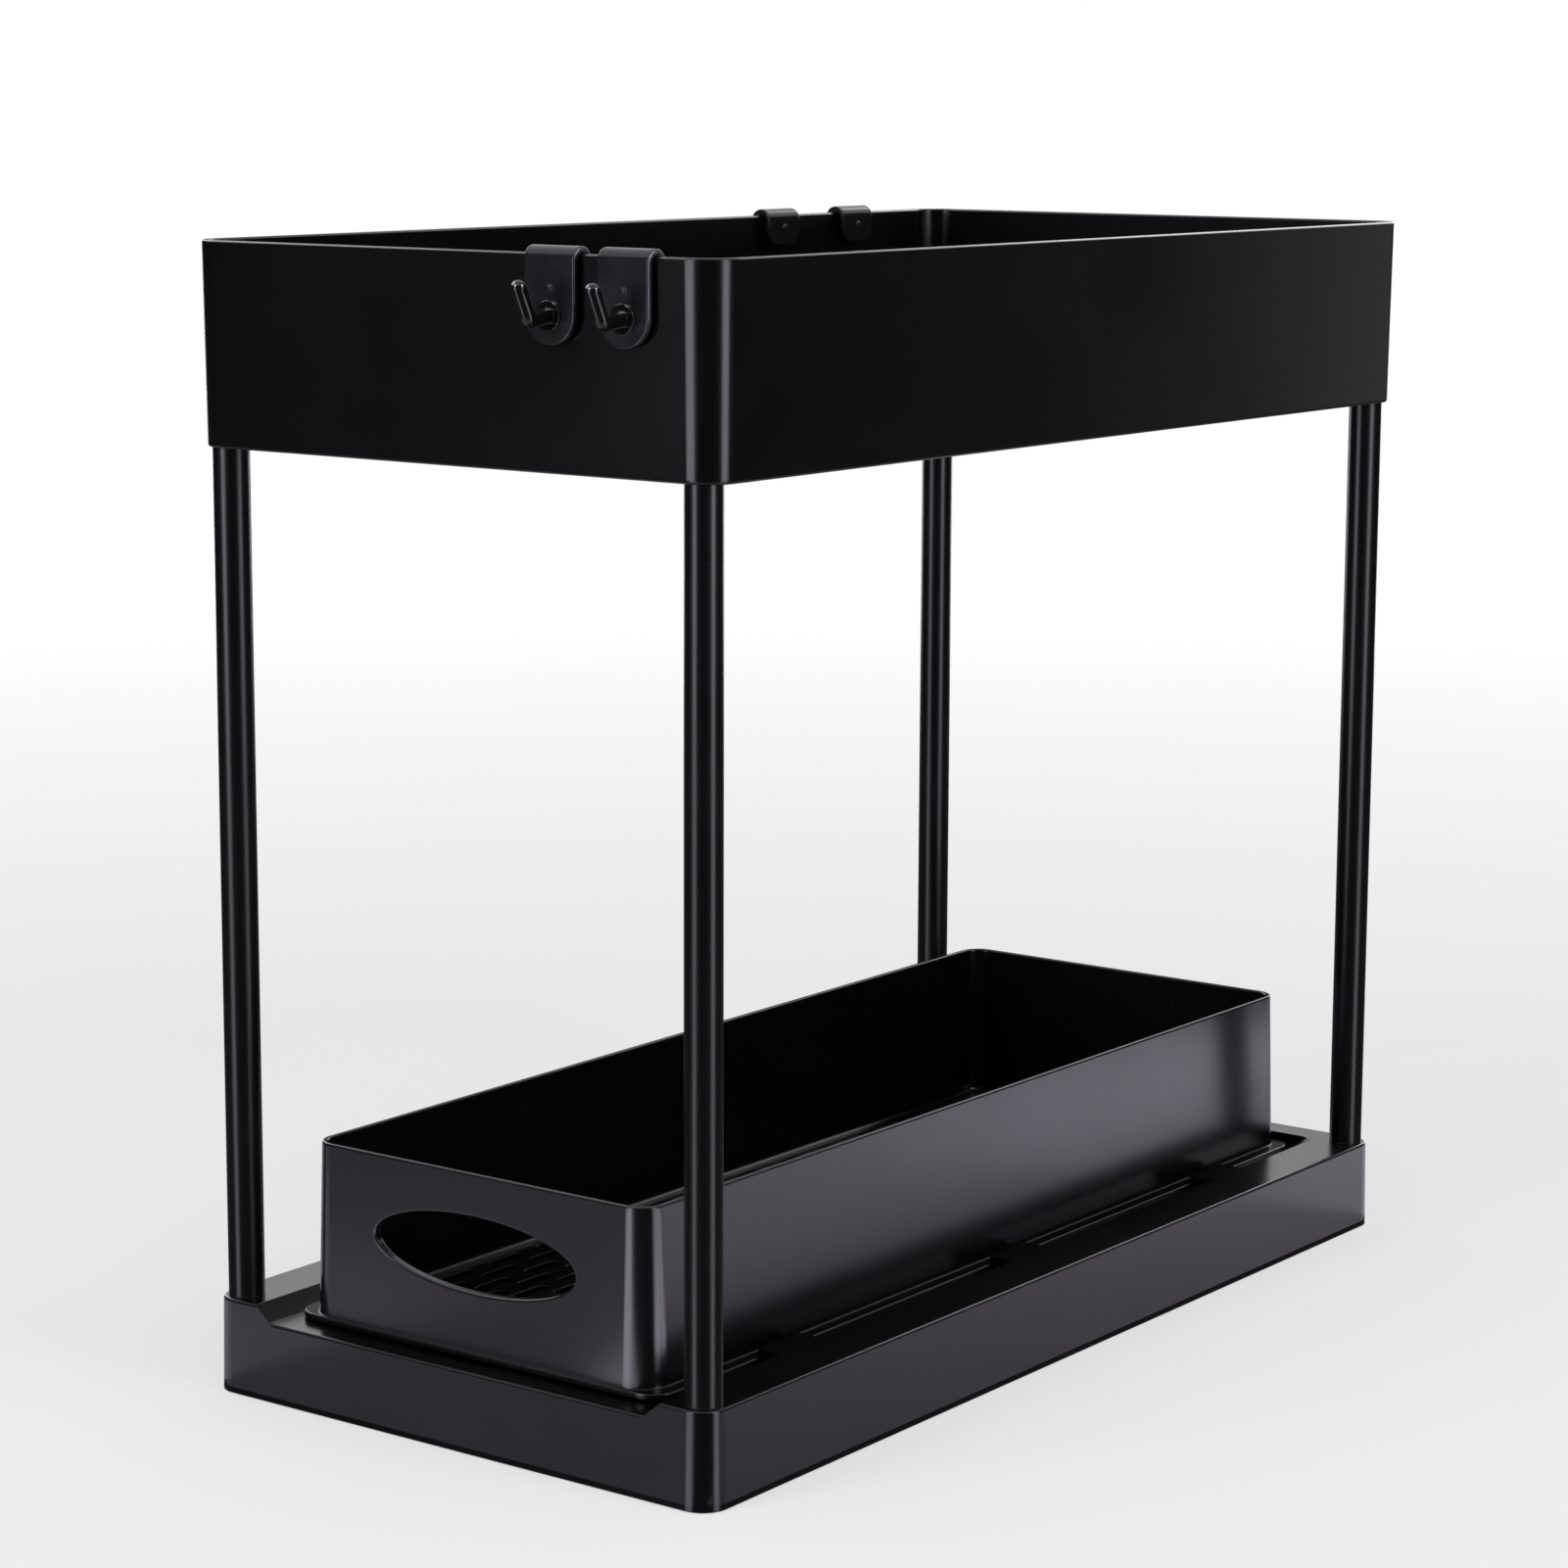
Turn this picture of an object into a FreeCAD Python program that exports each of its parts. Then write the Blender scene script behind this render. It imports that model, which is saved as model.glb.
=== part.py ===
"""Two-tier under sink organizer: moulded base with a sliding drawer, posts, upper tray and rim hooks.

Millimetres, +Z up.  The origin lies on the floor below the middle of the four posts.  The drawer pulls out
towards -Y, and +X is to the right.
"""
import FreeCAD, Part
import math
import os
import re
import Sketcher

# How close an edge lies to a stated place to count as being there
NEAR = 0.01

SIZES = {
    # Drawer: a runner plate with leaning walls, one moulding
    "drawer_plate_width": 154.0,
    "drawer_plate_depth": 393.1,
    "drawer_plate_thickness": 2.0,
    "drawer_plate_radius": 9.0,
    "drawer_side_ledge": 5.2,
    "drawer_front_ledge": 1.2,
    "drawer_back_ledge": 1.8,
    "drawer_wall_height": 58.0,
    "drawer_wall_lean": 1.6,
    "drawer_wall_radius": 10.0,
    "drawer_rim_wall": 2.0,
    "drawer_inner_draft": 0.9,
    "drawer_rim_round": 0.7,
    "drawer_floor_round": 2.0,
    "drawer_foot_round": 0.5,
    "drawer_plate_round": 0.6,
    "skid_width": 4.0,
    "skid_height": 0.8,
    "skid_inset": 9.0,
    "grip_width": 84.0,
    "grip_height": 25.0,
    "grip_centre_height": 31.5,
    "grip_round": 0.7,
    # Drain slots in the drawer and the tray
    "slot_width": 4.4,
    "slot_length": 17.0,
    "drawer_slot_pairs": 8,
    "drawer_slot_rows": 14,
    "tray_slot_pairs": 7,
    "tray_slot_rows": 10,
    # Base: a hollow moulding with a drawer channel that is open at the front
    "drawer_side_clearance": 1.6,
    "drawer_back_clearance": 1.0,
    "drawer_setback": 10.4,
    "channel_flare": 6.4,
    "channel_depth": 5.2,
    "channel_wall": 2.0,
    "channel_radius": 4.5,
    "deck_land": 19.5,
    "back_land": 12.5,
    "base_height": 32.0,
    "base_draft": 1.0,
    "base_radius": 9.0,
    "base_wall": 2.2,
    "deck_thickness": 2.0,
    "base_edge_round": 1.0,
    "tab_length": 21.0,
    "tab_overlap": 1.8,
    "tab_thickness": 2.0,
    "tab_pitch": 132.5,
    "tab_count": 3,
    "rib_thickness": 1.6,
    "rib_depth": 4.0,
    "rib_pitch": 60.0,
    "rib_count": 6,
    "keel_pitch": 48.0,
    "keel_count": 3,
    # Posts: steel tubes with a moulded foot and a moulded top plug
    "post_diameter": 12.0,
    "post_wall": 0.8,
    "post_length": 281.4,
    "post_inset": 8.5,
    "plug_clearance": 0.1,
    "plug_length": 15.0,
    "socket_clearance": 0.1,
    "socket_wall": 2.2,
    "socket_floor": 2.0,
    "socket_core_depth": 5.5,
    "foot_flange": 0.6,
    "foot_spigot_diameter": 10.0,
    "top_spigot_diameter": 9.0,
    "top_spigot_length": 18.0,
    "spigot_chamfer": 1.0,
    "spigot_end_gap": 0.5,
    # Upper tray
    "tray_side_margin": 9.5,
    "tray_end_margin": 7.2,
    "tray_height": 66.0,
    "tray_draft": 0.7,
    "tray_radius": 10.5,
    "tray_wall": 2.2,
    "tray_floor": 2.5,
    "tray_socket_roof": 2.0,
    "tray_rim_round": 0.8,
    "tray_foot_round": 1.2,
    # Rim hooks: a bent strip with a riveted peg
    "hook_width": 19.4,
    "hook_thickness": 2.0,
    "hook_side_gap": 1.1,
    "hook_seat_gap": 0.3,
    "hook_outer_drop": 27.0,
    "hook_inner_drop": 11.2,
    "hook_inner_radius": 6.5,
    "hook_edge_round": 0.5,
    "pip_diameter": 2.6,
    "pip_height": 0.6,
    "pip_round": 0.5,
    "outer_pip_drop": 10.4,
    "inner_pip_drop": 4.8,
    "peg_drop": 18.4,
    "peg_diameter": 4.9,
    "peg_reach": 9.1,
    "peg_dip": 6.5,
    "peg_rise": 13.1,
    "peg_angle": 64.5,
    "peg_bend_radius": 2.7,
    "peg_tip_flat": 0.3,
    "peg_shoulder_diameter": 9.3,
    "peg_shoulder_thickness": 0.7,
    "peg_shoulder_round": 0.3,
    "rivet_diameter": 3.4,
    "rivet_clearance": 0.05,
    "rivet_head_diameter": 5.6,
    "rivet_head_thickness": 0.6,
    "front_hook_setback": 31.1,
    "front_hook_pitch": 28.1,
    "side_hook_setback": 55.6,
    "side_hook_pitch": 47.4,
    # Room that a cutting profile reaches past the solid
    "cut_margin": 1.0,
}

# Sizes that follow from the driving ones
DERIVED = {
    "channel_floor_width": "drawer_plate_width + 2*drawer_side_clearance",
    "channel_width": "channel_floor_width + 2*channel_flare",
    "base_width": "channel_width + 2*deck_land",
    "base_depth": "drawer_setback + drawer_plate_depth + drawer_back_clearance + back_land",
    "channel_floor_z": "base_height - channel_depth",
    "channel_back_y": "base_depth/2 - back_land",
    "plate_z": "channel_floor_z + skid_height",
    "plate_top_z": "plate_z + drawer_plate_thickness",
    "drawer_rim_z": "plate_top_z + drawer_wall_height",
    "plate_centre_y": "(drawer_setback - back_land - drawer_back_clearance)/2",
    "drawer_wall_width": "drawer_plate_width - 2*drawer_side_ledge",
    "drawer_wall_depth": "drawer_plate_depth - drawer_front_ledge - drawer_back_ledge",
    "drawer_wall_centre_y": "plate_centre_y + (drawer_front_ledge - drawer_back_ledge)/2",
    "drawer_lean_run": "drawer_wall_height*tan(drawer_wall_lean*1deg)",
    "drawer_cavity_inset": "drawer_lean_run + drawer_rim_wall",
    "drawer_floor_inset": "drawer_cavity_inset + drawer_wall_height*tan(drawer_inner_draft*1deg)",
    "drawer_front_y": "drawer_wall_centre_y - drawer_wall_depth/2",
    "post_x": "base_width/2 - post_inset",
    "post_y": "base_depth/2 - post_inset",
    "post_bore": "post_diameter - 2*post_wall",
    "foot_socket_depth": "base_height - socket_core_depth - socket_floor",
    "foot_spigot_length": "foot_socket_depth - spigot_end_gap",
    "foot_socket_bore": "foot_spigot_diameter + 2*socket_clearance",
    "top_socket_bore": "top_spigot_diameter + 2*socket_clearance",
    "tray_z": "base_height + foot_flange + post_length",
    "tray_rim_z": "tray_z + tray_height",
    "tray_width": "2*post_x + 2*tray_side_margin",
    "tray_depth": "2*post_y + 2*tray_end_margin",
    "tray_draft_run": "tray_height*tan(tray_draft*1deg)",
    "tray_rim_half_width": "tray_width/2 + tray_draft_run",
    "tray_rim_half_depth": "tray_depth/2 + tray_draft_run",
    "hook_gap": "tray_wall + 2*hook_side_gap",
    "hook_face": "hook_gap/2 + hook_thickness",
    "hook_arc_z": "hook_seat_gap - hook_gap/2",
    "peg_corner_y": "-hook_face - peg_reach",
    "peg_root_y": "-hook_face - peg_shoulder_thickness/2",
    "peg_corner_z": "-peg_drop - (peg_root_y - peg_corner_y)*tan(peg_dip*1deg)",
    "peg_tangent": "peg_bend_radius*tan((peg_angle + peg_dip)*0.5deg)",
}

doc = FreeCAD.newDocument("UnderSinkOrganizer")
sheet = doc.addObject("Spreadsheet::Sheet", "dims")
for row, (alias, number) in enumerate(SIZES.items(), start=1):
    sheet.set(f"A{row}", alias)
    sheet.set(f"B{row}", str(number))
    sheet.setAlias(f"B{row}", alias)
ruler = doc.addObject("App::FeaturePython", "Ruler")
doc.recompute()

sub_parts = []


def tie(text):
    """Expression for the document, from a formula written in the names of sizes."""
    def spell(word):
        name = word.group()
        if name in DERIVED:
            return "(" + tie(DERIVED[name]) + ")"
        return "dims." + name if name in SIZES else name
    return re.sub(r"[a-z_]+", spell, text)


def size(text):
    """Present value of such a formula."""
    return float(ruler.evalExpression(tie(text)))


def new_body(label):
    """Empty sub-part whose label names its file."""
    body = doc.addObject("PartDesign::Body", label)
    body.Label = label
    sub_parts.append(body)
    return body


def place(body, x="0", y="0", z="0", turn=0.0):
    """Stand a sub-part at a point, turned about the vertical."""
    body.Placement = FreeCAD.Placement(FreeCAD.Vector(), FreeCAD.Rotation(FreeCAD.Vector(0, 0, 1), turn))
    for axis, text in zip("xyz", (x, y, z)):
        body.setExpression(f"Placement.Base.{axis}", tie(text))


def origin_feature(body, role):
    return next(feature for feature in body.Origin.OriginFeatures if feature.Role == role)


def new_sketch(body, name, role, offset="0"):
    """Sketch on an origin plane of its own body, moved along the plane's normal."""
    sketch = body.newObject("Sketcher::SketchObject", name)
    sketch.AttachmentSupport = (origin_feature(body, role), [""])
    sketch.MapMode = "FlatFace"
    sketch.setExpression("AttachmentOffset.Base.z", tie(offset))
    return sketch


def hold(sketch, kind, item, point, text):
    """Fix one coordinate of a sketch point by a formula."""
    on_axis = {"DistanceX": -2, "DistanceY": -1}
    if text == "0":
        sketch.addConstraint(Sketcher.Constraint("PointOnObject", item, point, on_axis[kind]))
        return
    number = sketch.addConstraint(Sketcher.Constraint(kind, -1, 1, item, point, size(text)))
    sketch.setExpression(f"Constraints[{number}]", tie(text))


def outline(sketch, corners, closed=True):
    """Line through corners (x, y); a corner (x, y, cx, cy, turn) starts an arc about (cx, cy)."""
    first = sketch.GeometryCount
    count = len(corners)
    runs = corners if closed else corners[:-1]
    spots = [FreeCAD.Vector(size(corner[0]), size(corner[1]), 0) for corner in corners]
    for index, corner in enumerate(runs):
        start, end = spots[index], spots[(index + 1) % count]
        if len(corner) == 2:
            sketch.addGeometry(Part.LineSegment(start, end))
            continue
        centre = FreeCAD.Vector(size(corner[2]), size(corner[3]), 0)
        circle = Part.Circle(centre, FreeCAD.Vector(0, 0, 1), (start - centre).Length)
        ends = (start, end) if corner[4] == "left" else (end, start)
        sketch.addGeometry(Part.ArcOfCircle(circle, *[circle.parameter(spot) for spot in ends]))
    starts = [2 if "right" in corner else 1 for corner in runs]
    for index, corner in enumerate(runs):
        item, after = first + index, (index + 1) % count
        if after < len(runs):
            sketch.addConstraint(
                Sketcher.Constraint("Coincident", item, 3 - starts[index], first + after, starts[after]))
        else:
            hold(sketch, "DistanceX", item, 3 - starts[index], corners[after][0])
            hold(sketch, "DistanceY", item, 3 - starts[index], corners[after][1])
        hold(sketch, "DistanceX", item, starts[index], corner[0])
        hold(sketch, "DistanceY", item, starts[index], corner[1])
        if len(corner) > 2:
            chord = spots[after] - spots[index]
            if abs(chord.x) >= abs(chord.y):
                hold(sketch, "DistanceY", item, 3, corner[3])
            else:
                hold(sketch, "DistanceX", item, 3, corner[2])


def rectangle(sketch, left, right, low, high):
    outline(sketch, [(left, low), (right, low), (right, high), (left, high)])


def rounded_rectangle(sketch, width, depth, radius, centre_y="0"):
    """Rectangle with round corners, centred on the sketch's vertical axis."""
    left, right = f"-({width})/2", f"({width})/2"
    low, high = f"{centre_y} - ({depth})/2", f"{centre_y} + ({depth})/2"
    inner_left, inner_right = f"{left} + {radius}", f"{right} - ({radius})"
    inner_low, inner_high = f"{low} + {radius}", f"{high} - ({radius})"
    outline(sketch, [
        (inner_left, low),
        (inner_right, low, inner_right, inner_low, "left"),
        (right, inner_low),
        (right, inner_high, inner_right, inner_high, "left"),
        (inner_right, high),
        (inner_left, high, inner_left, inner_high, "left"),
        (left, inner_high),
        (left, inner_low, inner_left, inner_low, "left"),
    ])


def circle(sketch, x, y, diameter):
    item = sketch.addGeometry(
        Part.Circle(FreeCAD.Vector(size(x), size(y), 0), FreeCAD.Vector(0, 0, 1), size(diameter) / 2))
    hold(sketch, "DistanceX", item, 3, x)
    hold(sketch, "DistanceY", item, 3, y)
    number = sketch.addConstraint(Sketcher.Constraint("Diameter", item, size(diameter)))
    sketch.setExpression(f"Constraints[{number}]", tie(diameter))


def post_circles(sketch, diameter):
    """One circle on the axis of each post."""
    for x in ("-post_x", "post_x"):
        for y in ("-post_y", "post_y"):
            circle(sketch, x, y, diameter)


def slot(sketch, x, y, width, length):
    """Slot with round ends, lengthwise along the sketch's vertical axis."""
    left, right = f"{x} - {width}/2", f"{x} + {width}/2"
    low, high = f"{y} - ({length} - {width})/2", f"{y} + ({length} - {width})/2"
    outline(sketch, [
        (left, low, x, low, "left"),
        (right, low),
        (right, high, x, high, "left"),
        (left, high),
    ])


def pad(body, sketch, length, taper="0", reverse=False, both_ways=False):
    """Raise a sketch along its normal; a positive taper widens it on the way."""
    feature = body.newObject("PartDesign::Pad", sketch.Name + "_pad")
    feature.Profile = sketch
    feature.setExpression("Length", tie(length))
    feature.setExpression("TaperAngle", tie(taper))
    feature.Reversed = reverse
    feature.Midplane = both_ways
    doc.recompute()
    return feature


def pocket(body, sketch, length, taper="0", forward=False):
    """Cut a sketch into the body, against its normal or along it, and see that material went."""
    before = body.Shape.Volume
    feature = body.newObject("PartDesign::Pocket", sketch.Name + "_pocket")
    feature.Profile = sketch
    feature.setExpression("Length", tie(length))
    feature.setExpression("TaperAngle", tie(taper))
    feature.Reversed = forward
    doc.recompute()
    if body.Shape.Volume >= before:
        raise RuntimeError(f"{body.Label}: {sketch.Name} cuts nothing")
    return feature


def row_of(body, feature, role, pitch, count):
    """Repeat a feature along an axis of its body."""
    pattern = body.newObject("PartDesign::LinearPattern", "row")
    pattern.Originals = [feature] if feature else []
    pattern.Direction = (origin_feature(body, role), [""])
    pattern.Mode = "Spacing"
    pattern.setExpression("Offset", tie(pitch))
    pattern.setExpression("Occurrences", tie(count))
    body.Tip = pattern
    doc.recompute()
    return pattern


def dress(body, kind, amount, chosen):
    """Fillet or chamfer the edges of the body's tip that a test picks."""
    tip = body.Tip
    names = [f"Edge{number}" for number, edge in enumerate(tip.Shape.Edges, start=1) if chosen(edge)]
    feature = body.newObject(f"PartDesign::{kind}", f"{body.Label}_{kind}")
    feature.Base = (tip, names)
    feature.setExpression({"Fillet": "Radius", "Chamfer": "Size"}[kind], tie(amount))
    doc.recompute()
    return feature


def level(edge, text, axis="Z"):
    """Whether an edge lies flat at a height, or at a place on another axis."""
    ends = getattr(edge.BoundBox, axis + "Min"), getattr(edge.BoundBox, axis + "Max")
    return max(abs(end - size(text)) for end in ends) < NEAR


def along(edge, width, depth, radius, centre_y="0"):
    """Whether an edge runs along the outline of a rounded rectangle, seen from above."""
    middle = edge.valueAt((edge.FirstParameter + edge.LastParameter) / 2)
    round_x = abs(middle.x) - size(f"({width})/2 - ({radius})")
    round_y = abs(middle.y - size(centre_y)) - size(f"({depth})/2 - ({radius})")
    outside = math.hypot(max(round_x, 0), max(round_y, 0))
    return abs(outside + min(max(round_x, round_y), 0) - size(radius)) < NEAR


def revolved(body, section):
    """Turn a closed section, drawn in X and Z, about the body's vertical axis."""
    sketch = new_sketch(body, body.Label + "_section", "XZ_Plane")
    outline(sketch, section)
    feature = body.newObject("PartDesign::Revolution", sketch.Name + "_turn")
    feature.Profile = sketch
    feature.ReferenceAxis = (sketch, ["V_Axis"])
    feature.Angle = 360.0
    doc.recompute()
    return feature


def drain_slots(body, plane_z, depth, pairs, rows, field_width, field_depth, centre_y="0"):
    """Drain slots through a floor, lengthwise in depth, with every second column half a step on."""
    sketch = new_sketch(body, body.Label + "_slots", "XY_Plane", plane_z)
    across, along_y = f"({field_width})/({pairs} + 0.5)", f"({field_depth})/({rows} + 1)"
    for column, shift in ((1, "+"), (3, "-")):
        slot(sketch, f"-{pairs}*{across}/2 + {column}*{across}/4",
             f"{centre_y} - ({rows} - 1)*{along_y}/2 {shift} {along_y}/4", "slot_width", "slot_length")
    feature = pocket(body, sketch, depth)
    field = body.newObject("PartDesign::MultiTransform", sketch.Name + "_field")
    field.Originals = [feature]
    field.Transformations = [row_of(body, None, "X_Axis", across, pairs),
                             row_of(body, None, "Y_Axis", along_y, rows)]
    body.Tip = field
    doc.recompute()


def make_base():
    """Hollow drafted moulding: deck, skirt, drawer channel, tabs over the plate, sockets and ribs."""
    body = new_body("base")
    skirt = new_sketch(body, "skirt", "XY_Plane")
    rounded_rectangle(skirt, "base_width", "base_depth", "base_radius")
    pad(body, skirt, "base_height", "-base_draft")
    hollow = new_sketch(body, "hollow", "XY_Plane")
    rounded_rectangle(hollow, "base_width - 2*base_wall", "base_depth - 2*base_wall",
                      "(base_radius - base_wall)")
    pocket(body, hollow, "base_height - deck_thickness", "-base_draft", forward=True)

    # Channel: the drawer's way, flared at the sides and open through the front wall
    channel = new_sketch(body, "channel", "XZ_Plane", "base_depth/2 + cut_margin")
    outline(channel, [
        ("-channel_floor_width/2", "channel_floor_z"),
        ("channel_floor_width/2", "channel_floor_z"),
        ("channel_width/2", "base_height"),
        ("channel_width/2", "base_height + cut_margin"),
        ("-channel_width/2", "base_height + cut_margin"),
        ("-channel_width/2", "base_height"),
    ])
    pocket(body, channel, "base_depth/2 + cut_margin + channel_back_y")
    pan = new_sketch(body, "pan", "XZ_Plane", "base_depth/2 - base_wall")
    outline(pan, [
        ("-channel_width/2", "base_height"),
        ("-channel_floor_width/2", "channel_floor_z"),
        ("channel_floor_width/2", "channel_floor_z"),
        ("channel_width/2", "base_height"),
        ("channel_width/2 + channel_wall", "base_height"),
        ("channel_floor_width/2 + channel_wall", "channel_floor_z - channel_wall"),
        ("-channel_floor_width/2 - channel_wall", "channel_floor_z - channel_wall"),
        ("-channel_width/2 - channel_wall", "base_height"),
    ])
    pad(body, pan, "base_depth/2 - base_wall + channel_back_y", reverse=True)
    stop = new_sketch(body, "back_stop", "XZ_Plane", "-channel_back_y - channel_wall")
    outline(stop, [
        ("-channel_width/2 - channel_wall", "base_height"),
        ("-channel_floor_width/2 - channel_wall", "channel_floor_z - channel_wall"),
        ("channel_floor_width/2 + channel_wall", "channel_floor_z - channel_wall"),
        ("channel_width/2 + channel_wall", "base_height"),
    ])
    pad(body, stop, "channel_wall")

    def back_corner(edge):
        box = edge.BoundBox
        rises = box.ZMin > size("channel_floor_z") - NEAR and box.ZLength > size("channel_depth") - NEAR
        return rises and level(edge, "channel_back_y", "Y")

    dress(body, "Fillet", "channel_radius", back_corner)

    # Tabs that keep the drawer's plate down
    tabs = new_sketch(body, "tabs", "XY_Plane", "base_height - tab_thickness")
    inner, outer = "drawer_plate_width/2 - tab_overlap", "channel_width/2 + channel_wall"
    low = "plate_centre_y - (tab_count - 1)*tab_pitch/2 - tab_length/2"
    rectangle(tabs, inner, outer, low, f"{low} + tab_length")
    rectangle(tabs, f"-({outer})", f"-({inner})", low, f"{low} + tab_length")
    row_of(body, pad(body, tabs, "tab_thickness"), "Y_Axis", "tab_pitch", "tab_count")

    # Ribs under the channel, across and along
    rib_top = "channel_floor_z - channel_wall"
    ribs = new_sketch(body, "ribs", "XY_Plane", f"{rib_top} - rib_depth")
    first_rib = "-(rib_count - 1)*rib_pitch/2"
    rectangle(ribs, "-channel_floor_width/2", "channel_floor_width/2",
              f"{first_rib} - rib_thickness/2", f"{first_rib} + rib_thickness/2")
    row_of(body, pad(body, ribs, "rib_depth"), "Y_Axis", "rib_pitch", "rib_count")
    keels = new_sketch(body, "keels", "XY_Plane", f"{rib_top} - rib_depth")
    first_keel = "-(keel_count - 1)*keel_pitch/2"
    rectangle(keels, f"{first_keel} - rib_thickness/2", f"{first_keel} + rib_thickness/2",
              "-base_depth/2 + base_wall/2", "channel_back_y + channel_wall")
    row_of(body, pad(body, keels, "rib_depth"), "X_Axis", "keel_pitch", "keel_count")

    # Post sockets that stand on the floor, cored out below their own floors
    sockets = new_sketch(body, "sockets", "XY_Plane")
    post_circles(sockets, "foot_socket_bore + 2*socket_wall")
    pad(body, sockets, "base_height")
    bores = new_sketch(body, "socket_bores", "XY_Plane", "base_height")
    post_circles(bores, "foot_socket_bore")
    pocket(body, bores, "foot_socket_depth")
    cores = new_sketch(body, "socket_cores", "XY_Plane")
    post_circles(cores, "foot_socket_bore")
    pocket(body, cores, "socket_core_depth", forward=True)

    # Round the edge that runs about the deck and down into the open front
    run = "base_height*tan(base_draft*1deg)"
    deck = (f"base_width - 2*{run}", f"base_depth - 2*{run}", f"base_radius - {run}")

    def opening(edge):
        box = edge.BoundBox
        return box.YMax < size(f"-base_depth/2 + {run}") and box.ZMin > size("channel_floor_z") - NEAR

    dress(body, "Fillet", "base_edge_round",
          lambda edge: opening(edge) or level(edge, "base_height") and along(edge, *deck))


def make_drawer():
    """Runner plate with walls that lean in towards the rim, an oval grip hole and a slotted floor."""
    body = new_body("drawer")
    plate = new_sketch(body, "plate", "XY_Plane", "plate_z")
    plate_edge = ("drawer_plate_width", "drawer_plate_depth", "drawer_plate_radius", "plate_centre_y")
    rounded_rectangle(plate, *plate_edge)
    pad(body, plate, "drawer_plate_thickness")
    wall = new_sketch(body, "wall", "XY_Plane", "plate_top_z")
    wall_foot = ("drawer_wall_width", "drawer_wall_depth", "drawer_wall_radius", "drawer_wall_centre_y")
    rounded_rectangle(wall, *wall_foot)
    pad(body, wall, "drawer_wall_height", "-drawer_wall_lean")
    cavity = new_sketch(body, "cavity", "XY_Plane", "drawer_rim_z")
    rounded_rectangle(cavity, "drawer_wall_width - 2*drawer_cavity_inset",
                      "drawer_wall_depth - 2*drawer_cavity_inset",
                      "(drawer_wall_radius - drawer_cavity_inset)", "drawer_wall_centre_y")
    pocket(body, cavity, "drawer_wall_height", "-drawer_inner_draft")

    # Grip: an ellipse through the front wall
    grip = new_sketch(body, "grip", "XZ_Plane", "-drawer_front_y + cut_margin")
    centre = FreeCAD.Vector(0, size("plate_top_z + grip_centre_height"), 0)
    reach = FreeCAD.Vector(size("grip_width/2"), 0, 0)
    rise = FreeCAD.Vector(0, size("grip_height/2"), 0)
    item = grip.addGeometry(Part.Ellipse(centre + reach, centre + rise, centre))
    hold(grip, "DistanceX", item, 3, "0")
    hold(grip, "DistanceY", item, 3, "plate_top_z + grip_centre_height")
    grip.exposeInternalGeometry(item)
    major, minor = item + 1, item + 2
    grip.addConstraint(Sketcher.Constraint("Horizontal", major))
    for line, text in ((major, "grip_width"), (minor, "grip_height")):
        number = grip.addConstraint(Sketcher.Constraint("Distance", line, size(text)))
        grip.setExpression(f"Constraints[{number}]", tie(text))
    pocket(body, grip, "cut_margin + drawer_cavity_inset + drawer_floor_inset")

    # Skids below the plate, which run on the channel's floor
    skids = new_sketch(body, "skids", "XY_Plane", "channel_floor_z")
    inner = "drawer_plate_width/2 - skid_inset - skid_width/2"
    outer = f"{inner} + skid_width"
    front = "plate_centre_y - drawer_plate_depth/2 + drawer_plate_radius"
    back = "plate_centre_y + drawer_plate_depth/2 - drawer_plate_radius"
    rectangle(skids, inner, outer, front, back)
    rectangle(skids, f"-({outer})", f"-({inner})", front, back)
    pad(body, skids, "skid_height")

    # Round the rim, the grip, the plate's upper edge and both sides of the wall's foot, then slot the floor
    floor_edge = ("drawer_wall_width - 2*drawer_floor_inset", "drawer_wall_depth - 2*drawer_floor_inset",
                  "drawer_wall_radius - drawer_floor_inset", "drawer_wall_centre_y")

    def grip_edge(edge):
        box = edge.BoundBox
        over_plate = box.ZMin - size("plate_top_z + cut_margin")
        below_rim = size("drawer_rim_z - cut_margin") - box.ZMax
        in_front = size("drawer_front_y + drawer_plate_radius") - box.YMax
        return min(over_plate, below_rim, in_front) > 0 and box.XLength > NEAR

    dress(body, "Fillet", "drawer_rim_round", lambda edge: level(edge, "drawer_rim_z"))
    dress(body, "Fillet", "grip_round", grip_edge)
    for amount, run in (("drawer_floor_round", floor_edge), ("drawer_plate_round", plate_edge),
                        ("drawer_foot_round", wall_foot)):
        dress(body, "Fillet", amount, lambda edge: level(edge, "plate_top_z") and along(edge, *run))
    drain_slots(body, "plate_top_z", "drawer_plate_thickness", "drawer_slot_pairs", "drawer_slot_rows",
                *floor_edge[:2], "drawer_wall_centre_y")


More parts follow.
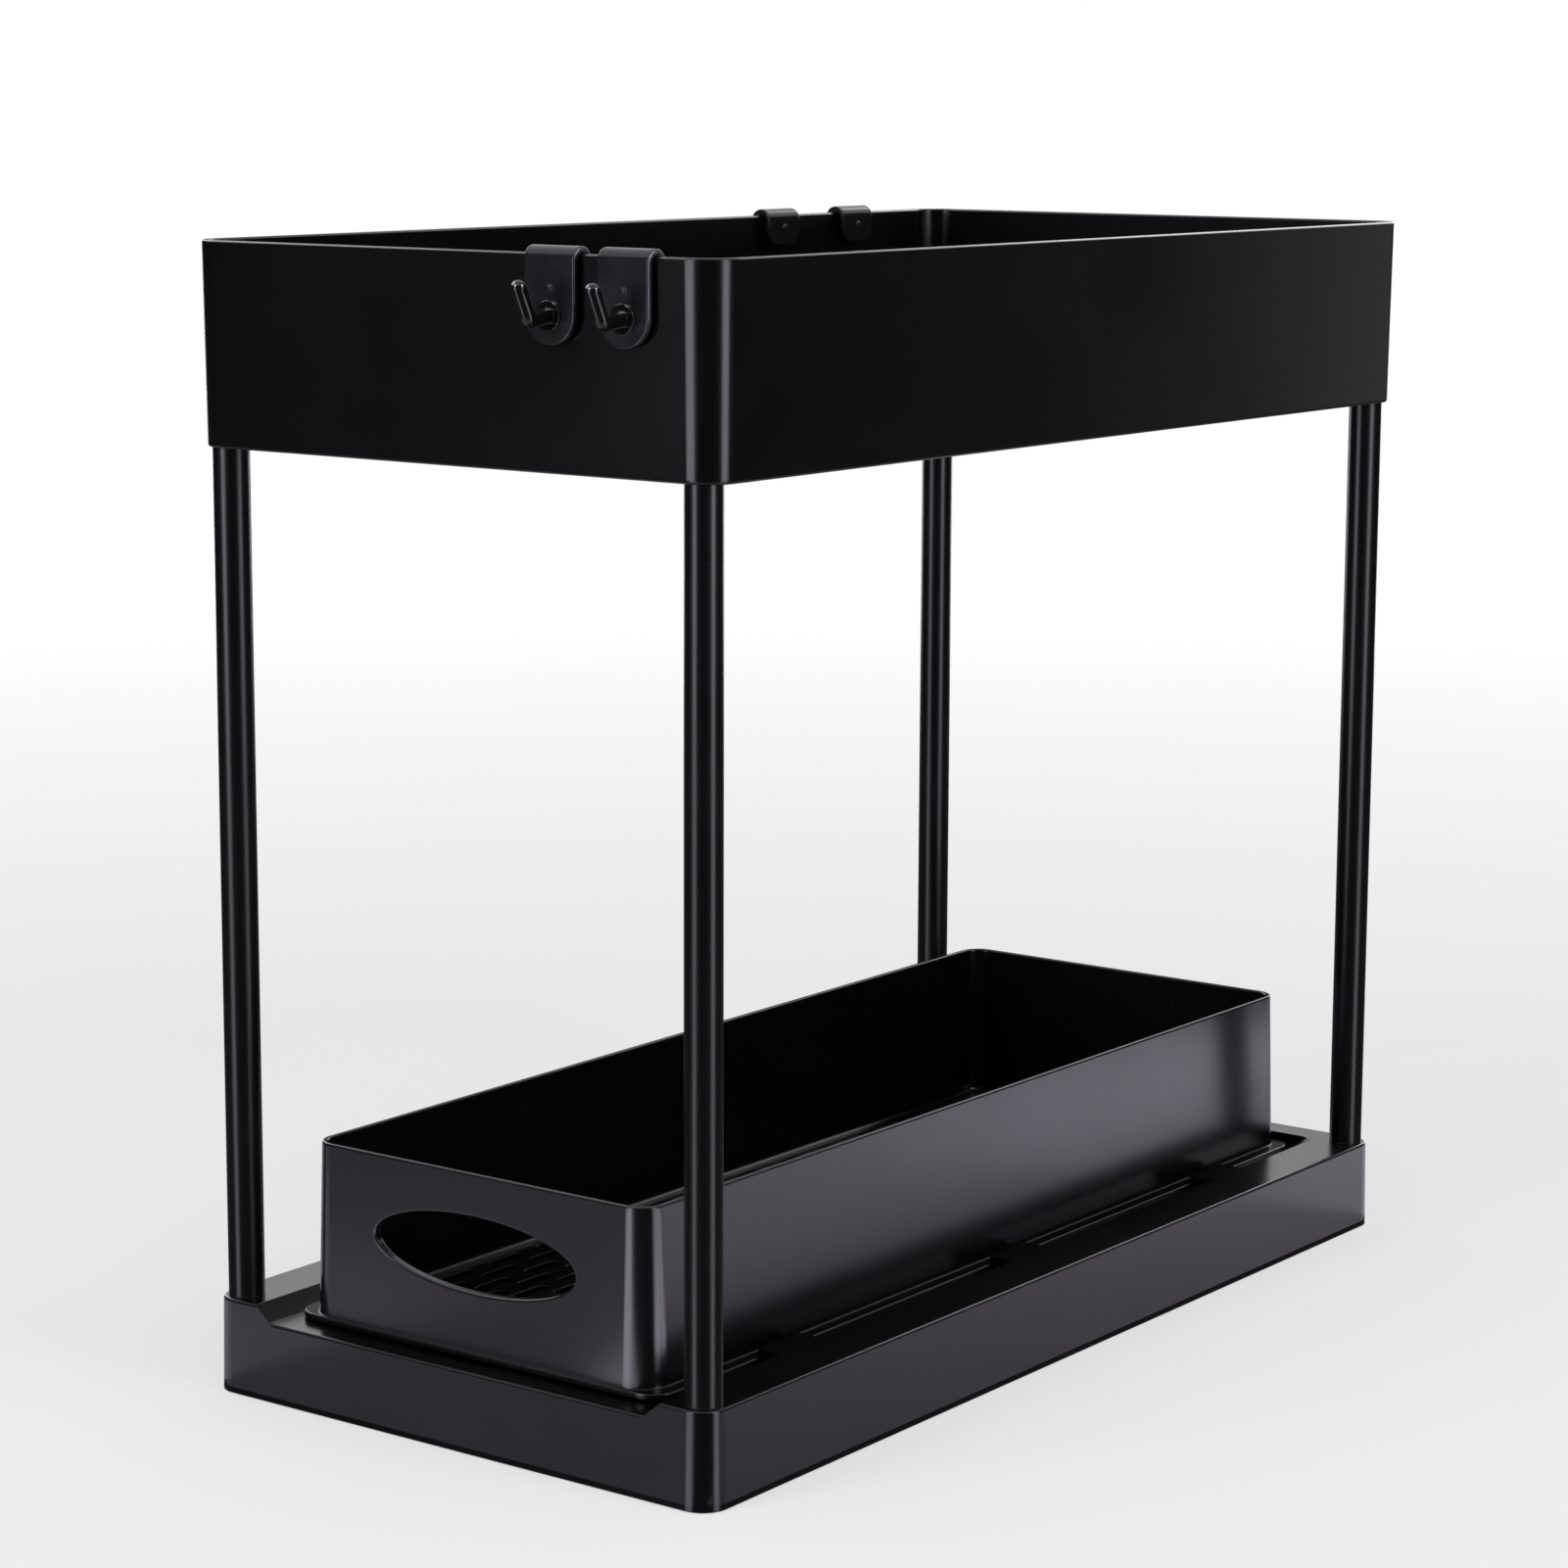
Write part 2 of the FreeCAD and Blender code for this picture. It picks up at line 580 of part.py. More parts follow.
def make_tray():
    """Drafted open tray with a slotted floor and a blind socket in each corner for the posts."""
    body = new_body("upper_tray")
    shell = new_sketch(body, "shell", "XY_Plane", "tray_z")
    rounded_rectangle(shell, "tray_width", "tray_depth", "tray_radius")
    pad(body, shell, "tray_height", "tray_draft")
    cavity = new_sketch(body, "tray_cavity", "XY_Plane", "tray_z + tray_floor")
    inset = "(tray_wall - tray_floor*tan(tray_draft*1deg))"
    rounded_rectangle(cavity, f"tray_width - 2*{inset}", f"tray_depth - 2*{inset}",
                      f"(tray_radius - {inset})")
    pocket(body, cavity, "tray_height - tray_floor + cut_margin", "tray_draft", forward=True)
    dress(body, "Fillet", "tray_rim_round", lambda edge: level(edge, "tray_rim_z"))
    dress(body, "Fillet", "tray_foot_round", lambda edge: level(edge, "tray_z"))
    sockets = new_sketch(body, "tray_sockets", "XY_Plane", "tray_z + tray_floor/2")
    post_circles(sockets, "top_socket_bore + 2*socket_wall")
    pad(body, sockets, "top_spigot_length + spigot_end_gap + tray_socket_roof - tray_floor/2")
    bores = new_sketch(body, "tray_bores", "XY_Plane", "tray_z")
    post_circles(bores, "top_socket_bore")
    pocket(body, bores, "top_spigot_length + spigot_end_gap", forward=True)
    drain_slots(body, "tray_z + tray_floor", "tray_floor", "tray_slot_pairs", "tray_slot_rows",
                "2*post_x - top_socket_bore - 2*socket_wall", "tray_depth - 2*tray_wall")


def make_post(corner, x, y):
    """Steel tube, its moulded foot with a flange flush with the tube, and its moulded top plug."""
    tube = new_body(f"post_{corner}")
    ring = new_sketch(tube, f"tube_{corner}", "XY_Plane")
    circle(ring, "0", "0", "post_diameter")
    circle(ring, "0", "0", "post_bore")
    pad(tube, ring, "post_length")
    place(tube, x, y, "base_height + foot_flange")

    foot = new_body(f"post_foot_{corner}")
    stub = "post_bore/2 - plug_clearance"
    revolved(foot, [
        ("0", "-foot_spigot_length"),
        ("foot_spigot_diameter/2 - spigot_chamfer", "-foot_spigot_length"),
        ("foot_spigot_diameter/2", "-foot_spigot_length + spigot_chamfer"),
        ("foot_spigot_diameter/2", "0"),
        ("post_diameter/2", "0"),
        ("post_diameter/2", "foot_flange"),
        (stub, "foot_flange"),
        (stub, "foot_flange + plug_length - spigot_chamfer"),
        (f"{stub} - spigot_chamfer", "foot_flange + plug_length"),
        ("0", "foot_flange + plug_length"),
    ])
    place(foot, x, y, "base_height")

    plug = new_body(f"post_plug_{corner}")
    revolved(plug, [
        ("0", "-plug_length"),
        (f"{stub} - spigot_chamfer", "-plug_length"),
        (stub, "-plug_length + spigot_chamfer"),
        (stub, "0"),
        ("top_spigot_diameter/2", "0"),
        ("top_spigot_diameter/2", "top_spigot_length - spigot_chamfer"),
        ("top_spigot_diameter/2 - spigot_chamfer", "top_spigot_length"),
        ("0", "top_spigot_length"),
    ])
    place(plug, x, y, "tray_z")


def make_hook(name, x, y, turn):
    """Strip bent over the rim, with a peg riveted through its outer leg."""
    clip = new_body(f"hook_clip_{name}")
    strip = new_sketch(clip, f"strip_{name}", "YZ_Plane")
    outline(strip, [
        ("-hook_face", "-hook_outer_drop"),
        ("-hook_gap/2", "-hook_outer_drop"),
        ("-hook_gap/2", "hook_arc_z", "0", "hook_arc_z", "right"),
        ("hook_gap/2", "hook_arc_z"),
        ("hook_gap/2", "-hook_inner_drop"),
        ("hook_face", "-hook_inner_drop"),
        ("hook_face", "hook_arc_z", "0", "hook_arc_z", "left"),
        ("-hook_face", "hook_arc_z"),
    ])
    pad(clip, strip, "hook_width", both_ways=True)
    for drop, amount in (("-hook_outer_drop", "hook_width/2 - hook_edge_round"),
                         ("-hook_inner_drop", "hook_inner_radius")):
        dress(clip, "Fillet", amount, lambda edge: level(edge, drop) and edge.BoundBox.XLength < NEAR)
    dress(clip, "Fillet", "hook_edge_round",
          lambda edge: edge.BoundBox.XLength < NEAR < edge.BoundBox.ZLength)
    hole = new_sketch(clip, f"rivet_hole_{name}", "XZ_Plane", "hook_face")
    circle(hole, "0", "-peg_drop", "rivet_diameter + 2*rivet_clearance")
    pocket(clip, hole, "hook_thickness")
    for leg, offset, top in (("outer", "hook_face", "-hook_face - pip_height"),
                             ("inner", "-hook_face", "hook_face + pip_height")):
        spot = new_sketch(clip, f"{leg}_pip_{name}", "XZ_Plane", offset)
        circle(spot, "0", f"-{leg}_pip_drop", "pip_diameter")
        pad(clip, spot, "pip_height", reverse=leg == "inner")
        dress(clip, "Fillet", "pip_round", lambda edge: level(edge, top, "Y"))
    place(clip, x, y, "tray_rim_z", turn)

    peg = new_body(f"hook_peg_{name}")
    route = new_sketch(peg, f"peg_route_{name}", "YZ_Plane")
    across, up = "cos(peg_angle*1deg)", "sin(peg_angle*1deg)"
    bend_y = "peg_corner_y + peg_tangent*cos(peg_dip*1deg)"
    bend_z = "peg_corner_z + peg_tangent*sin(peg_dip*1deg)"
    end_y, end_z = f"peg_corner_y - peg_rise*{across}", f"peg_corner_z + peg_rise*{up}"
    outline(route, [
        ("peg_root_y", "-peg_drop"),
        (bend_y, bend_z, f"{bend_y} - peg_bend_radius*sin(peg_dip*1deg)",
         f"{bend_z} + peg_bend_radius*cos(peg_dip*1deg)", "right"),
        (f"peg_corner_y - peg_tangent*{across}", f"peg_corner_z + peg_tangent*{up}"),
        (end_y, end_z),
    ], closed=False)
    section = peg.newObject("Sketcher::SketchObject", f"peg_section_{name}")
    section.AttachmentSupport = (route, ["Edge1"])
    section.MapMode = "NormalToEdge"
    circle(section, "0", "0", "peg_diameter")
    doc.recompute()
    pipe = peg.newObject("PartDesign::AdditivePipe", f"peg_pipe_{name}")
    pipe.Profile = section
    pipe.Spine = (route, ["Edge1", "Edge2", "Edge3"])
    doc.recompute()
    tip = FreeCAD.Vector(0, size(end_y), size(end_z))
    dress(peg, "Fillet", "(peg_diameter - peg_tip_flat)/2",
          lambda edge: (edge.BoundBox.Center - tip).Length < NEAR)
    for ring, offset, diameter, length, inward in (
            ("shoulder", "hook_face", "peg_shoulder_diameter", "peg_shoulder_thickness", False),
            ("rivet", "hook_face", "rivet_diameter", "hook_thickness", True),
            ("rivet_head", "hook_gap/2", "rivet_head_diameter", "rivet_head_thickness", True)):
        disc = new_sketch(peg, f"{ring}_{name}", "XZ_Plane", offset)
        circle(disc, "0", "-peg_drop", diameter)
        pad(peg, disc, length, reverse=inward)
    dress(peg, "Fillet", "peg_shoulder_round",
          lambda edge: (level(edge, "-hook_face - peg_shoulder_thickness", "Y")
                        and edge.BoundBox.XLength > size("peg_shoulder_diameter") - NEAR))
    place(peg, x, y, "tray_rim_z", turn)


make_base()
make_drawer()
make_tray()
for end, y in (("front", "-post_y"), ("rear", "post_y")):
    for side, x in (("left", "-post_x"), ("right", "post_x")):
        make_post(f"{end}_{side}", x, y)
for name, setback in (("front_left", "front_hook_setback + front_hook_pitch"),
                      ("front_right", "front_hook_setback")):
    make_hook(name, f"tray_width/2 - ({setback})", "-(tray_rim_half_depth - tray_wall/2)", 0.0)
for name, setback in (("side_front", "side_hook_setback + side_hook_pitch"),
                      ("side_rear", "side_hook_setback")):
    make_hook(name, "-(tray_rim_half_width - tray_wall/2)", f"tray_depth/2 - ({setback})", -90.0)

doc.recompute()
for item in doc.Objects:
    if "Invalid" in item.State or "Error" in item.State:
        raise RuntimeError(f"{item.Label} did not build: {item.State}")
os.makedirs("parts", exist_ok=True)
for body in sub_parts:
    if body.Shape.isNull() or not body.Shape.isValid():
        raise RuntimeError(f"{body.Label} has no valid shape")
    body.Shape.exportStep(f"parts/{body.Label}.step")
    box = body.Shape.optimalBoundingBox()
    reach = [round(end, 2) for end in (box.XMin, box.XMax, box.YMin, box.YMax, box.ZMin, box.ZMax)]
    print(body.Label, len(body.Shape.Solids), round(body.Shape.Volume), reach)
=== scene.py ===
import math
import bpy
from mathutils import Matrix, Vector


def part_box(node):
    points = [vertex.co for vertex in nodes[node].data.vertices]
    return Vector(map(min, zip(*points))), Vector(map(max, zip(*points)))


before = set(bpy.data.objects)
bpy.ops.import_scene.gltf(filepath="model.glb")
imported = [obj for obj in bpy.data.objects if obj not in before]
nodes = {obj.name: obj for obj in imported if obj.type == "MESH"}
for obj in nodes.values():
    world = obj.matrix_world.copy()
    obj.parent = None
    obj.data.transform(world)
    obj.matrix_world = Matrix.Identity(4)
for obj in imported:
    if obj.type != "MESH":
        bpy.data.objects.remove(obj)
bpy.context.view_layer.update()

# Base
# A hollow tray of black polypropylene that stands on its lower rim and carries the drawer's channel.
# Injection moulded in one piece: deck, skirt, four post sockets and six tabs over the drawer's plate.
mm = 0.001


def linear(hex_colour):
    """Linear RGBA of an sRGB hex value."""
    channels = [int(hex_colour[place:place + 2], 16) / 255 for place in (1, 3, 5)]
    return [c / 12.92 if c <= 0.04045 else ((c + 0.055) / 1.055) ** 2.4 for c in channels] + [1.0]


def add_node(tree, kind, settings, links):
    """Add a node with its properties and socket values, and link other nodes' outputs to its sockets."""
    new = tree.nodes.new("ShaderNode" + kind)
    for name, value in settings.items():
        if isinstance(name, str) and hasattr(new, name):
            setattr(new, name, value)
        else:
            new.inputs[name].default_value = value
    for name, source in links.items():
        tree.links.new(source, new.inputs[name])
    return new


def new_material(name):
    """Empty material and its node tree."""
    material = bpy.data.materials.new(name)
    material.use_nodes = True
    material.node_tree.nodes.clear()
    return material, material.node_tree


# All the black finishes shine a shade cooler than white.
cool_gloss = linear("#f3f1ff")

# Satin polypropylene: a faint drift of colour and gloss from the melt's flow, shallow ripples in the walls,
# fine spark-eroded grain, softened edges that hands have rubbed a little paler, and sparse hairline scuffs.
# The grain is drawn coarser than the real one, so that it shows.
polypropylene, tree = new_material("satin_black_polypropylene")
place = add_node(tree, "TexCoord", {}, {}).outputs["Object"]
flow = add_node(tree, "TexNoise", {"Scale": 1 / (60 * mm), "Detail": 3.0, "Distortion": 0.4},
                {"Vector": place})
ripple = add_node(tree, "TexNoise", {"Scale": 1 / (14 * mm), "Detail": 1.0}, {"Vector": place})
grain = add_node(tree, "TexNoise", {"Scale": 1 / (0.6 * mm), "Detail": 2.0}, {"Vector": place})
drawn = add_node(tree, "Mapping", {"Scale": (1 / (0.9 * mm), 1 / (30 * mm), 1 / (12 * mm)),
                                   "Rotation": (0.3, 0.2, 0.6)}, {"Vector": place})
scuff = add_node(tree, "TexNoise", {"Scale": 1.0, "Detail": 1.0}, {"Vector": drawn.outputs["Vector"]})
hairline = add_node(tree, "MapRange", {"From Min": 0.72, "From Max": 0.8, "To Max": 0.04},
                    {"Value": scuff.outputs["Fac"]})
soft_edge = add_node(tree, "Bevel", {"samples": 6, "Radius": 0.5 * mm}, {})
facet = add_node(tree, "NewGeometry", {}, {})
turn = add_node(tree, "VectorMath", {"operation": "DOT_PRODUCT"},
                {0: soft_edge.outputs["Normal"], 1: facet.outputs["Normal"]})
rub = add_node(tree, "MapRange", {"From Min": 0.99, "From Max": 0.75, "To Max": 0.9},
               {"Value": turn.outputs["Value"]})
patchy = add_node(tree, "Math", {"operation": "MULTIPLY"},
                  {0: rub.outputs["Result"], 1: flow.outputs["Fac"]})
tint = add_node(tree, "Mix", {"data_type": "RGBA", 6: linear("#050506"), 7: linear("#09080a")},
                {0: flow.outputs["Fac"]})
worn = add_node(tree, "Mix", {"data_type": "RGBA", 7: linear("#2f2e31")},
                {0: patchy.outputs["Value"], 6: tint.outputs[2]})
gloss = add_node(tree, "MapRange", {"From Min": 0.3, "From Max": 0.7, "To Min": 0.2, "To Max": 0.24},
                 {"Value": flow.outputs["Fac"]})
rough = add_node(tree, "Math", {"operation": "ADD"},
                 {0: gloss.outputs["Result"], 1: hairline.outputs["Result"]})
wavy = add_node(tree, "Bump", {"Strength": 0.2, "Distance": 0.03 * mm},
                {"Height": ripple.outputs["Fac"], "Normal": soft_edge.outputs["Normal"]})
texture = add_node(tree, "Bump", {"Strength": 0.3, "Distance": 0.012 * mm},
                   {"Height": grain.outputs["Fac"], "Normal": wavy.outputs["Normal"]})
shader = add_node(tree, "BsdfPrincipled", {"IOR": 1.49, "Specular Tint": cool_gloss},
                  {"Base Color": worn.outputs[2], "Roughness": rough.outputs["Value"],
                   "Normal": texture.outputs["Normal"]})
add_node(tree, "OutputMaterial", {}, {"Surface": shader.outputs["BSDF"]})


def cover(names, material):
    """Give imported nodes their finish."""
    for name in names:
        nodes[name].data.materials.clear()
        nodes[name].data.materials.append(material)


cover(["base"], polypropylene)

# Drawer
# The same polypropylene in one moulding: runner plate, leaning walls, oval grip and slotted floor.
# It lies loose in the base's channel on two skids, under the six tabs.
cover(["drawer"], polypropylene)

# Post feet and top plugs
# Glass-filled nylon pressed into both ends of each post; each foot's flange stands on the deck.
# Duller and a shade greyer than the polypropylene, with the filler's grain drawn coarse enough to show.
nylon, tree = new_material("glass_filled_nylon")
place = add_node(tree, "TexCoord", {}, {}).outputs["Object"]
cloud = add_node(tree, "TexNoise", {"Scale": 1 / (6 * mm), "Detail": 3.0}, {"Vector": place})
grain = add_node(tree, "TexNoise", {"Scale": 1 / (0.7 * mm), "Detail": 2.0}, {"Vector": place})
soft_edge = add_node(tree, "Bevel", {"samples": 6, "Radius": 0.3 * mm}, {})
tint = add_node(tree, "Mix", {"data_type": "RGBA", 6: linear("#0c0c0d"), 7: linear("#131214")},
                {0: cloud.outputs["Fac"]})
rough = add_node(tree, "MapRange", {"From Min": 0.3, "From Max": 0.7, "To Min": 0.34, "To Max": 0.42},
                 {"Value": grain.outputs["Fac"]})
texture = add_node(tree, "Bump", {"Strength": 0.4, "Distance": 0.02 * mm},
                   {"Height": grain.outputs["Fac"], "Normal": soft_edge.outputs["Normal"]})
shader = add_node(tree, "BsdfPrincipled", {"IOR": 1.53, "Specular Tint": cool_gloss},
                  {"Base Color": tint.outputs[2], "Roughness": rough.outputs["Result"],
                   "Normal": texture.outputs["Normal"]})
add_node(tree, "OutputMaterial", {}, {"Surface": shader.outputs["BSDF"]})
cover([name for name in nodes if name.startswith(("post_foot_", "post_plug_"))], nylon)

# Posts
# Four thin steel tubes, powder coated black, which stand on the feet and carry the tray on the plugs.
# The cured powder shows fine orange peel and a few dull specks.
powder_coat, tree = new_material("black_powder_coat")
place = add_node(tree, "TexCoord", {}, {}).outputs["Object"]
peel = add_node(tree, "TexNoise", {"Scale": 1 / (1.6 * mm), "Detail": 1.0}, {"Vector": place})
drift = add_node(tree, "TexNoise", {"Scale": 1 / (35 * mm), "Detail": 2.0}, {"Vector": place})
speck = add_node(tree, "TexVoronoi", {"Scale": 1 / (4 * mm)}, {"Vector": place})
dull = add_node(tree, "MapRange", {"From Min": 0.09, "From Max": 0.05, "To Max": 0.12},
                {"Value": speck.outputs["Distance"]})
tint = add_node(tree, "Mix", {"data_type": "RGBA", 6: linear("#050506"), 7: linear("#080809")},
                {0: drift.outputs["Fac"]})
gloss = add_node(tree, "MapRange", {"From Min": 0.3, "From Max": 0.7, "To Min": 0.26, "To Max": 0.3},
                 {"Value": drift.outputs["Fac"]})
rough = add_node(tree, "Math", {"operation": "ADD"},
                 {0: gloss.outputs["Result"], 1: dull.outputs["Result"]})
texture = add_node(tree, "Bump", {"Strength": 0.35, "Distance": 0.02 * mm}, {"Height": peel.outputs["Fac"]})
shader = add_node(tree, "BsdfPrincipled", {"IOR": 1.52, "Specular Tint": cool_gloss},
                  {"Base Color": tint.outputs[2], "Roughness": rough.outputs["Value"],
                   "Normal": texture.outputs["Normal"]})
add_node(tree, "OutputMaterial", {}, {"Surface": shader.outputs["BSDF"]})
cover([f"post_{end}_{side}" for end in ("front", "rear") for side in ("left", "right")], powder_coat)

# Upper tray
# Drafted open tray of the same polypropylene, with a slotted floor.
# A blind socket in each corner takes a post's top plug.
cover(["upper_tray"], polypropylene)

# Hook clips
# Steel strip bent over the tray's rim and dip coated; each clip slides along the rim.
# The coat follows the strip's rolled grain, drawn coarse enough to show, and pools to a shine in places.
dip_coat, tree = new_material("black_dip_coat_on_strip")
place = add_node(tree, "TexCoord", {}, {}).outputs["Object"]
rolled = add_node(tree, "Mapping", {"Scale": (1 / (0.5 * mm), 1 / (0.5 * mm), 1 / (12 * mm))},
                  {"Vector": place})
lines = add_node(tree, "TexNoise", {"Scale": 1.0, "Detail": 2.0}, {"Vector": rolled.outputs["Vector"]})
pool = add_node(tree, "TexNoise", {"Scale": 1 / (9 * mm), "Detail": 2.0}, {"Vector": place})
soft_edge = add_node(tree, "Bevel", {"samples": 8, "Radius": 0.6 * mm}, {})
tint = add_node(tree, "Mix", {"data_type": "RGBA", 6: linear("#17161a"), 7: linear("#1d1c20")},
                {0: pool.outputs["Fac"]})
rough = add_node(tree, "MapRange", {"From Min": 0.3, "From Max": 0.7, "To Min": 0.18, "To Max": 0.24},
                 {"Value": pool.outputs["Fac"]})
texture = add_node(tree, "Bump", {"Strength": 0.3, "Distance": 0.008 * mm},
                   {"Height": lines.outputs["Fac"], "Normal": soft_edge.outputs["Normal"]})
shader = add_node(tree, "BsdfPrincipled", {"IOR": 1.52, "Specular Tint": cool_gloss},
                  {"Base Color": tint.outputs[2], "Roughness": rough.outputs["Result"],
                   "Normal": texture.outputs["Normal"]})
add_node(tree, "OutputMaterial", {}, {"Surface": shader.outputs["BSDF"]})
cover([name for name in nodes if name.startswith("hook_clip_")], dip_coat)

# Hook pegs
# Bent steel rods with a shoulder, riveted through the clips and dipped in a gloss black coat.
# The thick coat levels out to a shine, with a slow sag along the rod.
gloss_coat, tree = new_material("gloss_black_dip_coat")
place = add_node(tree, "TexCoord", {}, {}).outputs["Object"]
sag = add_node(tree, "TexNoise", {"Scale": 1 / (4 * mm), "Detail": 1.0}, {"Vector": place})
soft_edge = add_node(tree, "Bevel", {"samples": 6, "Radius": 0.3 * mm}, {})
tint = add_node(tree, "Mix", {"data_type": "RGBA", 6: linear("#070708"), 7: linear("#0c0c0d")},
                {0: sag.outputs["Fac"]})
rough = add_node(tree, "MapRange", {"From Min": 0.3, "From Max": 0.7, "To Min": 0.09, "To Max": 0.14},
                 {"Value": sag.outputs["Fac"]})
texture = add_node(tree, "Bump", {"Strength": 0.3, "Distance": 0.03 * mm},
                   {"Height": sag.outputs["Fac"], "Normal": soft_edge.outputs["Normal"]})
shader = add_node(tree, "BsdfPrincipled", {"IOR": 1.52, "Specular Tint": cool_gloss},
                  {"Base Color": tint.outputs[2], "Roughness": rough.outputs["Result"],
                   "Normal": texture.outputs["Normal"]})
add_node(tree, "OutputMaterial", {}, {"Surface": shader.outputs["BSDF"]})
cover([name for name in nodes if name.startswith("hook_peg_")], gloss_coat)

# Floor and backdrop
# Plain white paper under the object that runs out into a white surround; it keeps the object's soft shadow.
# Gloss sees it as a dim polished sheet, so that the strip lamps stand in the finish down to the floor.
white = (1, 1, 1, 1)
floor_size, floor_drop = 8.0, 0.4 * mm
shadow_reach, white_reach = 0.5, 1.8
paper_glow, polish_glow, room_light = 0.57, 0.02, 0.4
paper, tree = new_material("white_paper_sweep")
path = add_node(tree, "LightPath", {}, {})
place = add_node(tree, "TexCoord", {}, {}).outputs["Object"]
away = add_node(tree, "VectorMath", {"operation": "LENGTH"}, {0: place})
fade = add_node(tree, "MapRange", {"From Min": shadow_reach, "From Max": white_reach},
                {"Value": away.outputs["Value"]})
matt = add_node(tree, "BsdfDiffuse", {"Color": linear("#e6e6e6")}, {})
glow = add_node(tree, "Emission", {"Color": white, "Strength": paper_glow}, {})
shade = add_node(tree, "BsdfDiffuse", {"Color": linear("#b4b4b4")}, {})
near = add_node(tree, "AddShader", {}, {0: glow.outputs["Emission"], 1: shade.outputs["BSDF"]})
far = add_node(tree, "Emission", {"Color": white, "Strength": 1.0}, {})
sheet = add_node(tree, "MixShader", {}, {0: fade.outputs["Result"], 1: near.outputs["Shader"],
                                         2: far.outputs["Emission"]})
mirror = add_node(tree, "BsdfAnisotropic", {"Color": linear("#c0c0c0"), "Roughness": 0.2}, {})
sheen = add_node(tree, "Emission", {"Color": white, "Strength": polish_glow}, {})
polish = add_node(tree, "AddShader", {}, {0: mirror.outputs["BSDF"], 1: sheen.outputs["Emission"]})
seen = add_node(tree, "Math", {"operation": "MAXIMUM"},
                {0: path.outputs["Is Camera Ray"], 1: path.outputs["Is Transmission Ray"]})
plain = add_node(tree, "MixShader", {}, {0: seen.outputs["Value"], 1: matt.outputs["BSDF"],
                                         2: sheet.outputs["Shader"]})
mixed = add_node(tree, "MixShader", {}, {0: path.outputs["Is Glossy Ray"], 1: plain.outputs["Shader"],
                                         2: polish.outputs["Shader"]})
add_node(tree, "OutputMaterial", {}, {"Surface": mixed.outputs["Shader"]})
bpy.ops.object.select_all(action="DESELECT")
bpy.ops.mesh.primitive_plane_add(size=floor_size, location=(0, 0, -floor_drop))
floor = bpy.context.object
floor.name = "floor"
bpy.ops.object.transform_apply()
floor.data.materials.append(paper)

world = bpy.data.worlds.new("studio")
bpy.context.scene.world = world
world.use_nodes = True
tree = world.node_tree
tree.nodes.clear()
path = add_node(tree, "LightPath", {}, {})
direct = add_node(tree, "Math", {"operation": "MAXIMUM"},
                  {0: path.outputs["Is Camera Ray"], 1: path.outputs["Is Glossy Ray"]})
shown = add_node(tree, "Math", {"operation": "MAXIMUM"},
                 {0: direct.outputs["Value"], 1: path.outputs["Is Transmission Ray"]})
dim = add_node(tree, "Background", {"Color": white, "Strength": room_light}, {})
bright = add_node(tree, "Background", {"Color": white, "Strength": 1.0}, {})
mixed = add_node(tree, "MixShader", {}, {0: shown.outputs["Value"], 1: dim.outputs["Background"],
                                         2: bright.outputs["Background"]})
add_node(tree, "OutputWorld", {}, {"Surface": mixed.outputs["Shader"]})

# Camera
# Solved from the photograph's straight edges: a long lens from the front right, a little above the tray.
# A small shift puts the lens's axis on the row where the photograph has it.
yaw, pitch, roll = (math.radians(angle) for angle in (36.618, 9.907, 0.225))
photo_width, focal_length, centre_row = 1601, 4237.7, 813.26
camera_place = (0.84143, -1.16302, 0.43328)
back = Vector((math.sin(yaw) * math.cos(pitch), -math.cos(yaw) * math.cos(pitch), math.sin(pitch)))
level = Vector((math.cos(yaw), math.sin(yaw), 0))
upright = back.cross(level)
right = math.cos(roll) * level + math.sin(roll) * upright
above = math.cos(roll) * upright - math.sin(roll) * level
bpy.ops.object.camera_add()
camera = bpy.context.object
camera.matrix_world = (Matrix.Translation(camera_place)
                       @ Matrix((right, above, back)).transposed().to_4x4())
camera.data.lens = focal_length / photo_width * camera.data.sensor_width
camera.data.shift_y = (centre_row - photo_width / 2) / photo_width
bpy.context.scene.camera = camera
bpy.context.scene.view_settings.view_transform = "Standard"

# Flags
# A ring of black velvet round the set, low behind the object and rising towards the camera.
# Only gloss sees it; it keeps the satin finish black between its highlights.
ring_radius, ring_height, front_rise, ring_sides = 2.5, 0.9, 1.8, 180
velvet_level = 0.02


def toward(bearing):
    """Level direction at a bearing, in degrees to the right of the camera's own side of the object."""
    heading = math.radians(bearing) + yaw
    return Vector((math.sin(heading), -math.cos(heading), 0))


velvet, tree = new_material("black_velvet")
nap = add_node(tree, "Emission", {"Color": white, "Strength": velvet_level}, {})
add_node(tree, "OutputMaterial", {}, {"Surface": nap.outputs["Emission"]})
bpy.ops.mesh.primitive_cylinder_add(vertices=ring_sides, radius=ring_radius, depth=ring_height,
                                    end_fill_type="NOTHING", location=(0, 0, ring_height / 2))
ring = bpy.context.object
ring.name = "flag_ring"
bpy.ops.object.transform_apply()
for point in ring.data.vertices:
    if point.co.z > ring_height / 2:
        facing = (1 + point.co.xy.normalized().dot(toward(0).xy)) / 2
        point.co.z += front_rise * facing
ring.data.materials.append(velvet)
ring.visible_camera = ring.visible_diffuse = ring.visible_transmission = False
ring.visible_volume_scatter = ring.visible_shadow = False

# Light
# Upright strip softboxes before and behind the object, softboxes high up that draw the tray's rim,
# and lamps that bring out hooks, tray and base, each kept to the pieces that it is there for.
# Panels and narrow strips lie on the paper, where the walls of base and drawer mirror them.


